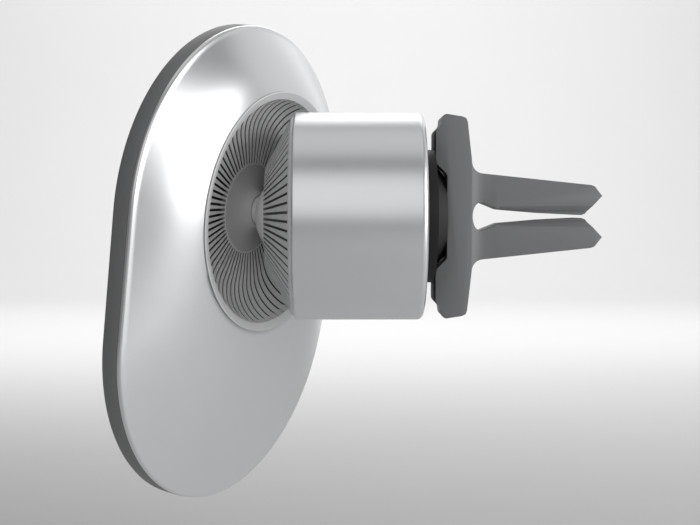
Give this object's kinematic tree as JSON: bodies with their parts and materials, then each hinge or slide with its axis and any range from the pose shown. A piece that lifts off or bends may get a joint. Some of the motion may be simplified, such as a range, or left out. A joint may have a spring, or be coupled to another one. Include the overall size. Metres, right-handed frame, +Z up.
{
  "type": "car vent phone mount",
  "caption": "Magnetic phone mount for a car air vent: an oblong phone plate on a ball joint, a silver barrel, a swivel and a two-prong vent clip.",
  "frame": {"origin": "centre of the relief at the root of the prong slot", "axes": "+X along the barrel and out along the prongs, +Z up, +Y across the prongs"},
  "size_m": [0.0852, 0.0612, 0.0869],
  "materials": {
    "soft_pad": "matt, slightly soft",
    "dark_shell": "fine satin grain",
    "nickel": "nickel plated",
    "steel": "bright zinc",
    "black_plastic": "moulded satin",
    "silver_cover": "satin silver lacquer",
    "silver_sleeve": "satin anodised",
    "grey_trim": "satin silver-grey lacquer",
    "grey_plastic": "satin moulded",
    "ball_grey": "satin moulded",
    "bearing_white": "natural acetal",
    "brass": "turned"
  },
  "bodies": {
    "clip": {"vent_clip": "dark_shell", "swivel_shaft": "steel", "clip_screw": "steel", "swivel_collar": "black_plastic", "shaft_clip": "steel"},
    "barrel": {"barrel_sleeve": "silver_sleeve", "nose_cone": "grey_trim", "barrel_core": "black_plastic", "rear_plate": "black_plastic", "disc_springs": "steel", "preload_ring": "brass", "barrel_screws": "steel", "swivel_washer": "bearing_white"},
    "seat": {"seat_ring": "bearing_white"},
    "ball": {"ball_stud": "ball_grey", "stud_washer": "bearing_white", "stud_nut": "steel"},
    "plate": {"front_pad": "soft_pad", "front_shell": "dark_shell", "magnet_ring": "nickel", "magnet_yoke": "steel", "alignment_magnet": "nickel", "magnet_frame": "black_plastic", "frame_screws": "steel", "back_cover": "silver_cover", "bowl_lip": "grey_trim", "ribbed_bowl": "grey_plastic", "centre_dish": "grey_plastic"}
  },
  "joints": [
    {"name": "clip_swivel", "type": "hinge", "parent": "clip", "child": "barrel", "pos_m": [0, 0, 0], "axis": [1, 0, 0], "continuous": true},
    {"name": "ball_azimuth", "type": "hinge", "parent": "barrel", "child": "seat", "pos_m": [-0.0316, 0, 0], "axis": [1, 0, 0], "continuous": true},
    {"name": "ball_tilt", "type": "hinge", "parent": "seat", "child": "ball", "pos_m": [-0.0316, 0, 0], "axis": [0, 0.2654, -0.9642], "range_deg": [-60.9, 1.1]},
    {"name": "plate_spin", "type": "hinge", "parent": "ball", "child": "plate", "pos_m": [-0.0316, 0, 0], "axis": [0.8669, -0.4806, -0.1323], "continuous": true}
  ]
}
